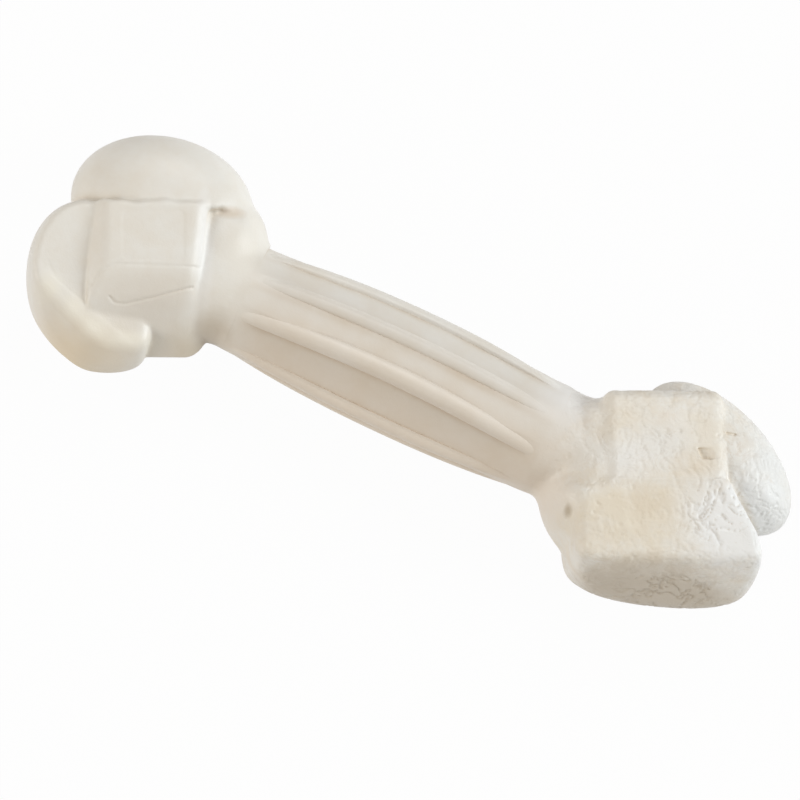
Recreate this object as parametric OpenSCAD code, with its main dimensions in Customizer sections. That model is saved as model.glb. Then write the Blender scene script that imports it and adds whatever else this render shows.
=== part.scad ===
// Edible chew bone: a barrel shaft with raised ridges between two knuckled ends.
// The bone lies along X. Both ends stand square to a frame that is turned about the
// vertical, so the bone looks alike after half a turn. It is alike above and below
// its parting plane, and rests on the level panels under its ends.

/* [Overall] */
// Turn of the ends about the vertical, away from square to the shaft
end_turn = 25; // [18:1:28]
// Height of the bone at its level panels
bone_h = 33; // [30:0.5:38]

/* [Shaft] */
// Length of the shaft between the collars
shaft_len = 82; // [66:1:110]
// Diameter of the shaft at both necks
neck_d = 26.2; // [24:0.2:27]
// Swell of the shaft's middle above the necks
shaft_belly = 1.1; // [0.5:0.1:1.6]

/* [Ridges] */
// Number of ridges round the shaft
ridge_count = 8; // [6:1:10]
// Turn of the first ridge from straight up
ridge_turn = 20; // [0:1:45]
// Distance of the ridges' left tips from the left neck
ridge_left_gap = 0.8; // [0.4:0.2:4]
// Distance of the ridges' right tips from the right neck
ridge_right_gap = 9.2; // [4:0.2:12]
// Width of a ridge at its middle
ridge_w = 5; // [4:0.2:6]
// Height of a ridge above the shaft at its middle
ridge_h = 1.1; // [0.8:0.1:1.6]

/* [Collars] */
// Width of the left collar across the shaft
left_collar_w = 37.6; // [35:0.2:40]
// Width of the right collar across the shaft
right_collar_w = 40.8; // [38:0.2:44]
// Rise of a collar above the neck
collar_rise = 1.2; // [0.4:0.2:2]
// Distance of a collar's middle from the shaft's axis, towards the side lobe
collar_shift = 1.4; // [0:0.1:2]
// Length of a collar's straight start at the neck
collar_start = 1; // [0.4:0.2:3]
// Distance of a collar's widest place from the end of the shaft
collar_reach = 11; // [9:0.5:13]
// Fore and aft radius of a collar's rounded belly
collar_belly = 13; // [9:0.5:14]
// Diameter of the cheek on the right collar, beside the lower lobe
cheek_d = 17; // [14:0.5:19]
// Height of that cheek
cheek_h = 31; // [28:0.5:32]
// Distance of the cheek's middle from the end of the shaft
cheek_reach = 8; // [7:0.2:10]
// Distance of the cheek's middle from the shaft's axis
cheek_side = 12.8; // [11:0.2:14]

/* [Saddles] */
// Radius of the saddles' edges
saddle_edge_r = 3.4; // [2:0.2:4.4]
// Height lost along a saddle's sloping half, above and below
slope_drop = 5; // [3:0.5:7]

/* [Left end] */
// Width of the left saddle
left_saddle_w = 27; // [24:0.2:29]
// Depth of the left saddle, from its lobe to its free edge
left_saddle_d = 27.2; // [25:0.2:30]
// Distance of the left saddle's middle from the neck, outwards
left_saddle_out = 22.7; // [21:0.1:24]
// Distance of the left saddle's middle from the neck, sideways
left_saddle_side = 6; // [5:0.1:7.5]
// Depth of the left saddle's level panel
left_panel_d = 14.8; // [12:0.2:17]
// Width of the upper lobe
upper_lobe_w = 42.4; // [38:0.2:46]
// Depth of the upper lobe, as a whole oval
upper_lobe_d = 31.4; // [28:0.2:34]
// Height of the upper lobe
upper_lobe_h = 32.4; // [28:0.2:33]
// Turn of the upper lobe
upper_lobe_turn = -12; // [-16:1:-6]
// Offset of the upper lobe's middle from the saddle's middle
upper_lobe_shift = 3.4; // [1:0.2:5]
// Distance of the upper lobe's middle beyond the saddle
upper_lobe_on = 2; // [0:0.2:4]
// Length of the left outer lobe
left_outer_l = 40.4; // [37:0.2:42]
// Width of the left outer lobe, as a whole oval
left_outer_w = 30.8; // [28:0.2:33]
// Height of the left outer lobe, as a whole oval
left_outer_h = 44; // [40:0.5:48]
// Turn of the left outer lobe
left_outer_turn = 19; // [14:1:24]
// Distance of its middle inside the saddle's outer edge
left_outer_in = 1.6; // [0.6:0.1:2.4]
// Distance of its middle from the crease along the upper lobe
left_outer_back = 18; // [16.5:0.1:19.5]
// Height of its flat face above the parting plane, at the saddle's bend
left_face_h = 13; // [11.6:0.2:13.8]
// Fall of that face, towards the collar
left_face_fall = 9; // [6:1:12]
// Direction of that fall
left_face_way = -58; // [-70:1:-45]
// Height of the rim where the face ends
left_rim_h = 12.4; // [11:0.2:13.4]
// Direction of the rim's long wall, from the lobe's middle
left_rim_way = -130; // [-138:1:-122]
// Distance of that wall from the lobe's middle
left_rim_out = 10.4; // [9.6:0.2:11.6]
// Distance of the rim's other wall, along the saddle's free edge, from the lobe's middle
left_rim_end = 13.4; // [12.8:0.2:14.4]
// Lean of the walls below the rim, from upright
left_rim_lean = 29; // [24:1:32]

/* [Right end] */
// Width of the right saddle
right_saddle_w = 28; // [26:0.2:30]
// Depth of the right saddle, from its lobe to its free edge
right_saddle_d = 21.8; // [19:0.2:24]
// Distance of the right saddle's middle from the neck, outwards
right_saddle_out = 20.8; // [20:0.1:23]
// Distance of the right saddle's middle from the neck, sideways
right_saddle_side = -1.3; // [-2.4:0.1:0]
// Depth of the right saddle's level strip
right_panel_d = 2; // [1:0.5:5]
// Width of the lower lobe at its front edge
lower_lobe_w = 45.6; // [42:0.2:50]
// Depth of the lower lobe's level panel
lower_panel_d = 18; // [15:0.5:20]
// Radius of the lower lobe's front corners, seen from above
lower_corner_r = 8; // [6:0.5:10]
// Reach of the lower lobe beyond the saddle
lower_lobe_reach = 27.6; // [25:0.2:30]
// Flare of the lower lobe's sides
lower_lobe_flare = 62; // [56:1:68]
// Turn of the lower lobe's end face
lower_lobe_turn = -5; // [-8:1:0]
// Length of the right outer lobe
right_outer_l = 45.4; // [42:0.2:48]
// Width of the right outer lobe
right_outer_w = 23.8; // [22:0.2:26]
// Height of the right outer lobe
right_outer_h = 27; // [24:0.5:29]
// Turn of the right outer lobe
right_outer_turn = -44; // [-50:1:-38]
// Distance of its middle inside the saddle's outer edge
right_outer_in = 0.6; // [0:0.1:1.6]
// Distance of its middle from the crease along the lower lobe
right_outer_back = 7.5; // [6:0.1:9]

/* [Hidden] */
RIDGES = [for (i = [1 : ridge_count]) str("ridge_", i)];

ivory = "#e6dfd1";
half_h = bone_h / 2;
shaft_end = shaft_len / 2;
shaft_mid_d = neck_d + 2 * shaft_belly;
collar_h = neck_d + 2 * collar_rise;
// Larger than the bone, for the cells that part one piece from the next
far = 200;
$fn = 48;

// Radius of an arc through its crown and a point that is run along and drop below it
function arc_r(run, drop) = (run * run + drop * drop) / (2 * drop);

// The outer lobe fills the corner that a saddle's round edge leaves
corner = 2 * saddle_edge_r - saddle_edge_r / cos(45);

barrel_r = arc_r(shaft_end, shaft_belly);
barrel_steps = 16;
// Radius of the shaft at a distance from its middle
function shaft_r(x) = shaft_mid_d / 2 - barrel_r + sqrt(pow(barrel_r, 2) - pow(x, 2));

// Length of a ridge, and how far its middle lies to the left of the shaft's middle
ridge_len = shaft_len - ridge_left_gap - ridge_right_gap;
ridge_shift = (ridge_right_gap - ridge_left_gap) / 2;
// A ridge in stations along the shaft, with points across each station
ridge_stations = 24;
ridge_points = 8;
// How full a ridge is at a share of its half length: it runs out to nothing at the tips
function ridge_swell(share) = 1 - pow(share, 2);
// A point of a ridge: along from -1 to 1, across from -1 to 1, raised or on the shaft
function ridge_point(along, across, raised) =
    let (x = along * ridge_len / 2 - ridge_shift,
         swell = ridge_swell(along),
         turn = across * sqrt(swell) * ridge_w / shaft_mid_d * 180 / PI,
         r = shaft_r(x) + raised * ridge_h * swell * pow(cos(90 * across), 2))
    [x, r * sin(turn), r * cos(turn)];

// Corners of each saddle in the turned frame, with the bone's left end as the pattern:
// outer and inner edge, free edge, and the crease along the side lobe
left_u = [-left_saddle_out - left_saddle_w / 2, -left_saddle_out + left_saddle_w / 2];
left_v = [left_saddle_side - left_saddle_d / 2, left_saddle_side + left_saddle_d / 2];
right_u = [-right_saddle_out - right_saddle_w / 2, -right_saddle_out + right_saddle_w / 2];
right_v = [right_saddle_side - right_saddle_d / 2, right_saddle_side + right_saddle_d / 2];

// Where the outer lobe, bending round the saddle's free edge, gives way to the collar
left_split = -left_saddle_out;
right_split = right_u[1];

// Middles of the four lobes in the turned frame, from the neck
upper_lobe_at = [-left_saddle_out + upper_lobe_shift, left_v[1] + upper_lobe_on];
left_outer_at = [left_u[0] + left_outer_in, left_v[1] - left_outer_back];
right_outer_at = [right_u[0] + right_outer_in, right_v[1] - right_outer_back];
// The lower lobe's end is rounded by two balls, one on each side of its middle
lower_ball_r = 2 * saddle_edge_r;
lower_front_v = right_v[1] + lower_panel_d - saddle_edge_r;
lower_tip = [lower_lobe_w / 2 - 3 * saddle_edge_r, lower_lobe_reach - lower_panel_d - saddle_edge_r];

// How far a turned oval reaches along X and along Y from the neck, on the side asked for
function reach_x(at, length, width, turn, side) =
    side * (at[0] * cos(end_turn) - at[1] * sin(end_turn))
    + norm([length * cos(turn + end_turn), width * sin(turn + end_turn)]) / 2;
function reach_y(at, length, width, turn, side) =
    side * (at[0] * sin(end_turn) + at[1] * cos(end_turn))
    + norm([length * sin(turn + end_turn), width * cos(turn + end_turn)]) / 2;

// Reach of the bone from the shaft's middle: its outer lobes end it along X, and the left
// end's lobes end it along Y
left_reach = shaft_end + reach_x(left_outer_at, left_outer_w, left_outer_l, left_outer_turn, -1);
right_reach = shaft_end + reach_x(right_outer_at, right_outer_l, right_outer_w, right_outer_turn, -1);
back_reach = reach_y(upper_lobe_at, upper_lobe_w, upper_lobe_d, upper_lobe_turn, 1);
front_reach = reach_y(left_outer_at, left_outer_w, left_outer_l, left_outer_turn, -1);

// The bone stands on its level panels, with its middle at the origin
module on_its_rest() {
    translate([(left_reach - right_reach) / 2, (front_reach - back_reach) / 2, half_h])
        color(ivory) children();
}

// The turned frame at the left neck, and the same frame after half a turn
module left_end() {
    on_its_rest() translate([-shaft_end, 0, 0]) rotate([0, 0, end_turn]) children();
}

module right_end() {
    on_its_rest() translate([shaft_end, 0, 0]) rotate([0, 0, end_turn + 180]) children();
}

module tall(outline) {
    translate([0, 0, -far]) linear_extrude(2 * far) polygon(outline);
}

module oval(length, width, height) {
    scale([length / 2, width / 2, height / 2]) rotate([90, 0, 0]) sphere(1);
}

// A point far out along one of the two flanks of a side lobe
function flank(u, v, flare, way) = [u + way * far * cos(flare), v + far * sin(flare)];

// The cells of one end: what lies beyond the crease, outside the saddle, and towards the shaft
module side_cell(u, v, flare) {
    tall([[u[0], v[1]], [u[1], v[1]], flank(u[1], v[1], flare, 1), [far, 2 * far], [-far, 2 * far],
        flank(u[0], v[1], flare, -1)]);
}

module outer_cell(u, v, flare, split) {
    // Beside the saddle, and behind its free edge
    intersection() {
        children();
        tall([[u[0], v[1]], flank(u[0], v[1], flare, -1), [-2 * far, -far], [u[0], -far]]);
    }
    intersection() {
        children();
        tall([[u[0], v[0] + corner], [u[0], -far], [split, -far], [split, v[0]], [u[0] + corner, v[0]]]);
    }
}

module collar_cell(u, v, flare, split) {
    tall([[u[1], v[1]], [u[1], v[0]], [split, v[0]], [split, -far], [2 * far, -far],
        flank(u[1], v[1], flare, 1)]);
}

// A rectangle with round corners
module round_rectangle(size, r) {
    for (x = [r, size[0] - r], y = [r, size[1] - r])
        translate([x, y]) circle(r);
    translate([r, 0]) square([size[0] - 2 * r, size[1]]);
    translate([0, r]) square([size[0], size[1] - 2 * r]);
}

// A long bar with round edges whose flat top lies at z = 0 and falls towards -Y
module capping(u, fall) {
    rotate([90 + fall, 0, 0])
        translate([u[0], -far, -far])
            linear_extrude(2 * far) round_rectangle([u[1] - u[0], far], saddle_edge_r);
}

// A block with round edges: a level panel along the crease, then a slope to the free edge
module saddle(u, v, panel_d, drop) {
    panel_end = v[1] - panel_d;
    fall = atan(drop / (panel_end - v[0]));
    intersection() {
        translate([u[0], v[0], -half_h])
            linear_extrude(bone_h) round_rectangle([u[1] - u[0], v[1] - v[0]], saddle_edge_r);
        intersection_for (way = [0, 1])
            mirror([0, 0, way])
                translate([0, panel_end, half_h])
                    intersection() {
                        capping(u, 0);
                        capping(u, fall);
                    }
    }
}

// A flared shoulder from the neck out to a rounded belly, up to the shaft's end face
module collar_form(width) {
    intersection() {
        hull() {
            translate([-collar_start, 0, 0])
                rotate([0, 90, 0]) cylinder(h = collar_start, d = neck_d, $fn = 64);
            translate([-collar_reach, collar_shift, 0]) oval(2 * collar_belly, width, collar_h);
            children();
        }
        translate([-far, -far / 2, -far / 2]) cube(far);
    }
}

// All that lies under a plane through the origin that falls towards X
module under(fall) {
    rotate([0, fall, 0]) translate([-far / 2, -far / 2, -far]) cube(far);
}

module shaft() {
    profile = [for (i = [0 : barrel_steps])
        let (x = shaft_end * (2 * i / barrel_steps - 1)) [shaft_r(x), x]];
    on_its_rest()
        rotate([0, 90, 0])
            rotate_extrude($fn = 96)
                polygon(concat([[0, -shaft_end]], profile, [[0, shaft_end]]));
}

// A lens of the shaft's own material that swells out of the barrel and runs out at both tips
module ridge(turn) {
    n = ridge_points;
    ring = 2 * n;
    last = ridge_stations - 1;
    stations = [for (i = [1 : last]) 2 * i / ridge_stations - 1];
    // Each ring runs over the crown and back along the shaft
    rings = [for (along = stations, i = [0 : ring - 1])
        i < n ? ridge_point(along, 2 * i / n - 1, 1) : ridge_point(along, 3 - 2 * i / n, 0)];
    tips = [ridge_point(-1, 0, 0), ridge_point(1, 0, 0)];
    tip = len(rings);
    sides = [for (s = [0 : last - 2], i = [0 : ring - 1], half = [0, 1])
        let (a = s * ring + i, b = s * ring + (i + 1) % ring)
        half == 0 ? [a, b, b + ring] : [a, b + ring, a + ring]];
    caps = [for (i = [0 : ring - 1], end = [0, 1])
        let (k = (i + 1) % ring, base = (last - 1) * ring)
        end == 0 ? [tip, k, i] : [tip + 1, base + i, base + k]];
    on_its_rest() rotate([turn, 0, 0]) polyhedron(concat(rings, tips), concat(sides, caps));
}

module left_collar() {
    left_end()
        intersection() {
            rotate([0, 0, -end_turn]) collar_form(left_collar_w);
            collar_cell(left_u, left_v, 0, left_split);
        }
}

module left_saddle() {
    left_end() saddle(left_u, left_v, left_panel_d, slope_drop);
}

// A thick oval knuckle, cut where it meets the saddle
module left_upper_lobe() {
    left_end()
        intersection() {
            translate([upper_lobe_at[0], upper_lobe_at[1], 0])
                rotate([0, 0, upper_lobe_turn]) oval(upper_lobe_w, upper_lobe_d, upper_lobe_h);
            side_cell(left_u, left_v, 0);
        }
}

// The side of a leaning wall below the left outer lobe's rim that the lobe keeps
module inside_rim(way, out) {
    translate([left_outer_at[0], left_outer_at[1], left_rim_h])
        rotate([0, 0, way])
            translate([out, 0, 0]) under(90 - left_rim_lean);
}

// An oval knuckle with a flat face, above and below, and leaning walls from the face's rim
module left_outer_lobe() {
    face_at = [left_u[0], left_v[1] - left_panel_d, left_face_h];
    left_end()
        outer_cell(left_u, left_v, 0, left_split)
            intersection() {
                translate([left_outer_at[0], left_outer_at[1], 0])
                    rotate([0, 0, left_outer_turn]) oval(left_outer_w, left_outer_l, left_outer_h);
                intersection_for (way = [0, 1])
                    mirror([0, 0, way])
                        intersection() {
                            translate(face_at) rotate([0, 0, left_face_way]) under(left_face_fall);
                            inside_rim(left_rim_way, left_rim_out);
                            inside_rim(-90, left_rim_end);
                        }
            }
}

module right_collar() {
    right_end()
        intersection() {
            rotate([0, 0, -end_turn])
                collar_form(right_collar_w)
                    translate([-cheek_reach, cheek_side, 0]) oval(cheek_d, cheek_d, cheek_h);
            collar_cell(right_u, right_v, lower_lobe_flare, right_split);
        }
}

module right_saddle() {
    right_end() saddle(right_u, right_v, right_panel_d, slope_drop);
}

// A disc with round edges, as a corner of the lower lobe's panel
module puck(radius, edge_r) {
    rotate_extrude($fn = 32) translate([radius - edge_r, 0]) circle(edge_r, $fn = 16);
}

// A broad knuckle: a level panel that widens from the saddle, and an end face below it
module right_lower_lobe() {
    r = saddle_edge_r;
    corner_u = lower_lobe_w / 2 - lower_corner_r;
    right_end()
        intersection() {
            translate([-right_saddle_out, lower_front_v, 0])
                hull()
                    for (side = [-1, 1]) {
                        for (way = [-1, 1])
                            translate([0, 0, way * (half_h - r)]) {
                                translate([side * (right_saddle_w / 2 - r), -lower_panel_d, 0])
                                    sphere(r, $fn = 32);
                                translate([side * corner_u, r - lower_corner_r, 0]) puck(lower_corner_r, r);
                            }
                        rotate([0, 0, lower_lobe_turn])
                            translate([side * lower_tip[0], lower_tip[1], 0]) sphere(lower_ball_r, $fn = 32);
                    }
            side_cell(right_u, right_v, lower_lobe_flare);
        }
}

module right_outer_lobe() {
    right_end()
        outer_cell(right_u, right_v, lower_lobe_flare, right_split)
            translate([right_outer_at[0], right_outer_at[1], 0])
                rotate([0, 0, right_outer_turn]) oval(right_outer_l, right_outer_w, right_outer_h);
}

shaft();
for (i = [1 : ridge_count])
    ridge(-ridge_turn - (i - 1) * 360 / ridge_count);
left_collar();
left_saddle();
left_upper_lobe();
left_outer_lobe();
right_collar();
right_saddle();
right_lower_lobe();
right_outer_lobe();
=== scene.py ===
from functools import reduce
from math import cos, radians, sin

import bmesh
import bpy
import numpy as np
from mathutils import Matrix, Vector, kdtree


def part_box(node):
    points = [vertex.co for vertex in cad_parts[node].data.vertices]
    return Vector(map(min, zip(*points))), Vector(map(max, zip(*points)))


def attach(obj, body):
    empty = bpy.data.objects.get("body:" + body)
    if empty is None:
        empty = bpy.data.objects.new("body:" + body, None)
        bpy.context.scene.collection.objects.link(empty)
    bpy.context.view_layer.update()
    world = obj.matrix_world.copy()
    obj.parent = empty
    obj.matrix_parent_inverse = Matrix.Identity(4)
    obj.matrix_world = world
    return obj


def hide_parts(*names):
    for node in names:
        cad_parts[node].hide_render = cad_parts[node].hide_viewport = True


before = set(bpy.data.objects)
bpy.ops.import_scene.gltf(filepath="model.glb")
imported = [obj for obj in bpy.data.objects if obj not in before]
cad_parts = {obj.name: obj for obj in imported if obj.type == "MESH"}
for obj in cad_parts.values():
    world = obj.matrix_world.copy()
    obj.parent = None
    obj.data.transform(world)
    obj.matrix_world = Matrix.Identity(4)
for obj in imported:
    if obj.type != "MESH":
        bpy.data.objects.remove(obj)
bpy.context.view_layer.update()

# Shaft
# The bar between the two ends: chew dough, pressed hard in a two-part mould. It is a
# barrel with a flat panel along it between each two of its ridges, and round necks.
# Sizes are in millimetres from the shaft's middle, and each mesh is put in its place last.
MM = 0.001
shaft_low, shaft_high = (Vector(corner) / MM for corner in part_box("shaft"))
middle = (shaft_low + shaft_high) / 2
in_place = Matrix.Translation(middle * MM) @ Matrix.Scale(MM, 4)
half_len = (shaft_high.x - shaft_low.x) / 2
belly_r = 14.5
neck_r = 12.8
flat_half_len = 38.0
right_joint = half_len - 5.0
ridge_turns = [radians(a) for a in (20, 67, 112, 158, 203, 249, 283, 343)]
ridge_bows = [radians(a) for a in (6, 15, 0, 0, 0, 0, 0, 13)]
ridge_mid = -3.2
ridge_half_len = 39.5
ridge_w = 4.6
corner_w = 1.2
# Painted shade: how strongly the creases below and above each ridge are browned.
crease_shade_below = 1.0
crease_shade_above = 0.3
shaft_rings = 141
facet_degrees = 1.25
sharp_from = radians(60)
end_turn = radians(25)
left_to_bone = Matrix.Translation((-half_len, 0, 0)) @ Matrix.Rotation(end_turn, 4, "Z")
right_end_turn = end_turn + radians(180)
right_to_bone = Matrix.Translation((half_len, 0, 0)) @ Matrix.Rotation(right_end_turn, 4, "Z")


def new_piece(name, mesh=None):
    piece = bpy.data.objects.new(name, mesh or bpy.data.meshes.new(name))
    bpy.context.collection.objects.link(piece)
    return piece


def chew_finish(name, stain, grain, to_bone, turn, patches):
    """Waxy pressed dough: mottled ivory, creases browned by painted shade; grain from 0, smooth, to 1, rough.

    Patches are places of another colour, in millimetres in the plan of an end's turned frame: the
    middle, the half sizes, a colour, its strength, and how ragged and how soft the edge is. Some are
    other dough, and some are painted shade, painted light or painted highlight.
    """
    pale, shade, tan = (0.795, 0.785, 0.755), (0.765, 0.735, 0.68), (0.73, 0.665, 0.57)
    crease_shade_brown, ridge_highlight_white = (0.60, 0.51, 0.40), (0.90, 0.875, 0.83)
    dull_near, dull_far = (0.945, 0.875, 0.81), (0.885, 0.862, 0.842)
    # Painted shade: creases and hollows within this reach are darkened and warmed in the colour.
    crease_shade_warm = (0.92, 0.85, 0.76)
    crease_reach = 3.5 * MM
    worn_from, worn_to, least_worn = -3, 9, 0.15
    dull_mid, dull_full, dull_end = 2, 36, 46
    far_from, far_to, far_share = 5, 13, 0.3
    low_from, low_to = -12, 6
    through = 1000
    material = bpy.data.materials.new(name)
    material.use_nodes = True
    nodes, links = material.node_tree.nodes, material.node_tree.links
    skin = nodes["Principled BSDF"]
    where = nodes.new("ShaderNodeTexCoord").outputs["Object"]

    def noise(scale, detail, roughness=0.55, distortion=0.0):
        texture = nodes.new("ShaderNodeTexNoise")
        texture.inputs["Scale"].default_value = scale
        texture.inputs["Detail"].default_value = detail
        texture.inputs["Roughness"].default_value = roughness
        texture.inputs["Distortion"].default_value = distortion
        links.new(where, texture.inputs["Vector"])
        return texture.outputs["Fac"]

    def spread(value, low, high, to_low=0.0, to_high=1.0):
        made = nodes.new("ShaderNodeMapRange")
        made.inputs["From Min"].default_value = low
        made.inputs["From Max"].default_value = high
        made.inputs["To Min"].default_value = to_low
        made.inputs["To Max"].default_value = to_high
        links.new(value, made.inputs["Value"])
        return made.outputs["Result"]

    def sum_of(operation, *values):
        made = nodes.new("ShaderNodeMath")
        made.operation = operation
        for socket, given in zip(made.inputs, values):
            if isinstance(given, float):
                socket.default_value = given
            else:
                links.new(given, socket)
        return made.outputs[0]

    def product(value, other):
        return sum_of("MULTIPLY", value, other)

    def apart(value, level=0.5):
        """How far a value is from a level."""
        difference = sum_of("SUBTRACT", value, level)
        return sum_of("MAXIMUM", difference, product(difference, -1.0))

    def mixed(share, under, over, how="MIX"):
        made = nodes.new("ShaderNodeMix")
        made.data_type = "RGBA"
        made.blend_type = how
        links.new(share, made.inputs[0])
        for socket, colour in ((made.inputs[6], under), (made.inputs[7], over)):
            if isinstance(colour, tuple):
                socket.default_value = (*colour, 1)
            else:
                links.new(colour, socket)
        return made.outputs[2]

    def in_frame(vector, place, angle, scale):
        """A vector as it is seen from a frame that is moved, turned about the vertical and scaled."""
        made = nodes.new("ShaderNodeMapping")
        made.vector_type = "TEXTURE"
        made.inputs["Location"].default_value = place
        made.inputs["Rotation"].default_value = (0, 0, angle)
        made.inputs["Scale"].default_value = scale
        links.new(vector, made.inputs["Vector"])
        return made.outputs["Vector"]

    def split(vector):
        made = nodes.new("ShaderNodeSeparateXYZ")
        links.new(vector, made.inputs["Vector"])
        return made.outputs

    def marked(label):
        made = nodes.new("ShaderNodeAttribute")
        made.attribute_name = label
        return made.outputs["Fac"]

    def raised(height, strength, distance, under=None):
        made = nodes.new("ShaderNodeBump")
        made.inputs["Strength"].default_value = strength
        made.inputs["Distance"].default_value = distance
        links.new(height, made.inputs["Height"])
        if under:
            links.new(under, made.inputs["Normal"])
        return made.outputs["Normal"]

    plan = in_frame(where, (in_place @ to_bone).translation, turn, (MM, MM, MM))
    worn = spread(split(plan)["X"], worn_from, worn_to, grain, least_worn)
    colour = mixed(spread(noise(70, 4, 0.6), 0.38, 0.66), pale, shade)
    mottle = spread(noise(150, 5, 0.65), 0.45, 0.7, 0, 0.9)
    colour = mixed(product(mottle, worn), colour, tan)
    vein_lines = spread(apart(noise(150, 5, 0.65, distortion=1.2)), 0, 0.04, 0.45, 0)
    veins = product(vein_lines, spread(noise(60, 2), 0.45, 0.7))
    colour = mixed(product(veins, worn), colour, stain)
    ragged = noise(190, 5, 0.65)
    for place, half, dough, strength, raggedness, soft in patches.values():
        off = nodes.new("ShaderNodeVectorMath")
        off.operation = "LENGTH"
        links.new(in_frame(plan, (*place, 0), 0, (*half, through)), off.inputs[0])
        edge = sum_of("MULTIPLY_ADD", ragged, raggedness, off.outputs["Value"])
        rim = 0.75 + raggedness / 2
        colour = mixed(spread(edge, rim - soft, rim + soft, strength, 0), colour, dough)
    # Painted shade: brown in the creases beside the shaft's ridges, stronger on their lower side.
    beside_ridge = spread(noise(90, 3), 0.3, 0.65, 0.15, 0.7)
    colour = mixed(product(marked("crease shade by a ridge"), beside_ridge), colour, crease_shade_brown)
    # Painted highlight: a paler band along each ridge's upper edge.
    highlit = spread(noise(120, 3), 0.3, 0.65, 0.25, 0.6)
    colour = mixed(product(marked("rubbed edge"), highlit), colour, ridge_highlight_white)
    specks = spread(noise(420, 2, 0.6), 0.66, 0.8, 0, 0.3)
    colour = mixed(product(specks, worn), colour, stain)

    at = split(where)
    on_shaft = spread(apart(at["X"], (middle.x + dull_mid) * MM), dull_full * MM, dull_end * MM, 1, 0)
    near_side = spread(at["Y"], (middle.y + far_from) * MM, (middle.y + far_to) * MM, 1, far_share)
    upwards = spread(at["Y"], (middle.y + low_from) * MM, (middle.y + low_to) * MM)
    colour = mixed(product(on_shaft, near_side), colour, mixed(upwards, dull_near, dull_far), "MULTIPLY")
    # Painted shade: occlusion darkens and warms the colour in creases and hollows.
    occlusion_shade = nodes.new("ShaderNodeAmbientOcclusion")
    occlusion_shade.inputs["Distance"].default_value = crease_reach
    colour = mixed(spread(occlusion_shade.outputs["AO"], 0.4, 0.9, 1, 0), colour, crease_shade_warm, "MULTIPLY")
    links.new(colour, skin.inputs["Base Color"])
    links.new(spread(noise(160, 4), 0.3, 0.7, 0.36, 0.52), skin.inputs["Roughness"])
    pores = raised(noise(2600, 2), 0.12, 0.2 * MM)
    lumps = raised(noise(330, 4, 0.6, distortion=0.4), 0.1 + 0.25 * grain, 0.6 * MM, pores)
    links.new(lumps, skin.inputs["Normal"])
    skin.inputs["IOR"].default_value = 1.45
    skin.inputs["Specular IOR Level"].default_value = 0.6
    return material


rim_highlight = (0.85, 0.82, 0.735)
saddle_edge_highlight = (0.855, 0.855, 0.85)
neck_painted_light = (0.87, 0.875, 0.88)
# Painted light: the right neck's top, which the saddle shades from the right lamp, is painted near white on
# both ends' materials.
white_neck_at = (0, -10)
white_neck = ((10, 6), neck_painted_light, 0.9, 0.4, 0.5)
white_neck_from_left = left_to_bone.inverted() @ right_to_bone @ Vector((*white_neck_at, 0))
smooth_chew = chew_finish(
    "smooth_chew", stain=(0.66, 0.58, 0.48), grain=0.2, to_bone=left_to_bone, turn=end_turn, patches={
        # Painted shade: the outer lobe's wall, which faces down and away from the lamps, is painted darker
        # and browner.
        "outer lobe's wall": ((-44, -15), (18, 10), (0.75, 0.655, 0.51), 1.0, 0.4, 0.55),
        # Painted highlight: a paler, yellower band along the outer lobe's rim and the top of its lip.
        "outer part of the rim": ((-45.5, -0.5), (3.4, 4.0), rim_highlight, 0.8, 0.3, 0.5),
        "middle of the rim": ((-40.0, -4.8), (3.6, 3.6), rim_highlight, 0.8, 0.3, 0.5),
        "inner part of the rim": ((-35.5, -8.8), (3.6, 3.2), rim_highlight, 0.8, 0.3, 0.5),
        "top of the lip": ((-27.0, -11.6), (7.0, 2.2), rim_highlight, 0.7, 0.3, 0.5),
        # Painted shade: the saddle's foot and slope face down, away from the lamps, and are painted darker.
        "saddle's foot": ((-13, -13), (9, 6), (0.72, 0.65, 0.54), 0.9, 0.4, 0.55),
        "saddle's slope": ((-22, -3), (13, 6), (0.69, 0.65, 0.595), 0.85, 0.6, 0.55),
        "collar": ((-1, 9), (7, 8), (0.765, 0.73, 0.665), 0.8, 0.6, 0.5),
        # Painted highlight: a near white band along the saddle's rounded inner edge.
        "saddle's edge": ((-10.2, 9), (2.2, 14), saddle_edge_highlight, 0.85, 0.4, 0.45),
        # Painted shade: the corner where the apron meets the neck, and the pocket under the upper lobe, are
        # painted brown.
        "corner at the neck": ((-8.0, -9.5), (4.2, 5), (0.60, 0.54, 0.46), 0.85, 0.6, 0.5),
        "pocket": ((-4.0, 17.7), (3.6, 1.6), (0.66, 0.575, 0.48), 0.8, 0.4, 0.4),
        # Painted light on the shaded top of the right neck.
        "white neck": (tuple(white_neck_from_left.xy), *white_neck),
    })


def barrel_radius(x):
    return belly_r - (belly_r - neck_r) * (x / half_len) ** 2


x = np.linspace(-half_len, right_joint, shaft_rings)[:, None]
turn = np.radians(np.arange(0, 360, facet_degrees))
panel = np.searchsorted(ridge_turns, turn % radians(360), side="right") - 1
start = np.array(ridge_turns)[panel]
gap = np.array([*ridge_turns[1:], ridge_turns[0] + radians(360)])[panel] - start
start = np.where(panel < 0, start - radians(360), start)
flat_r = barrel_radius(x) * np.cos(gap / 2) / np.cos(turn - start - gap / 2)
flat = np.clip(1 - ((x - ridge_mid) / flat_half_len) ** 4, 0, 1)
radius = barrel_radius(x) + flat * (flat_r - barrel_radius(x))
along = (x - ridge_mid) / ridge_half_len
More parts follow.
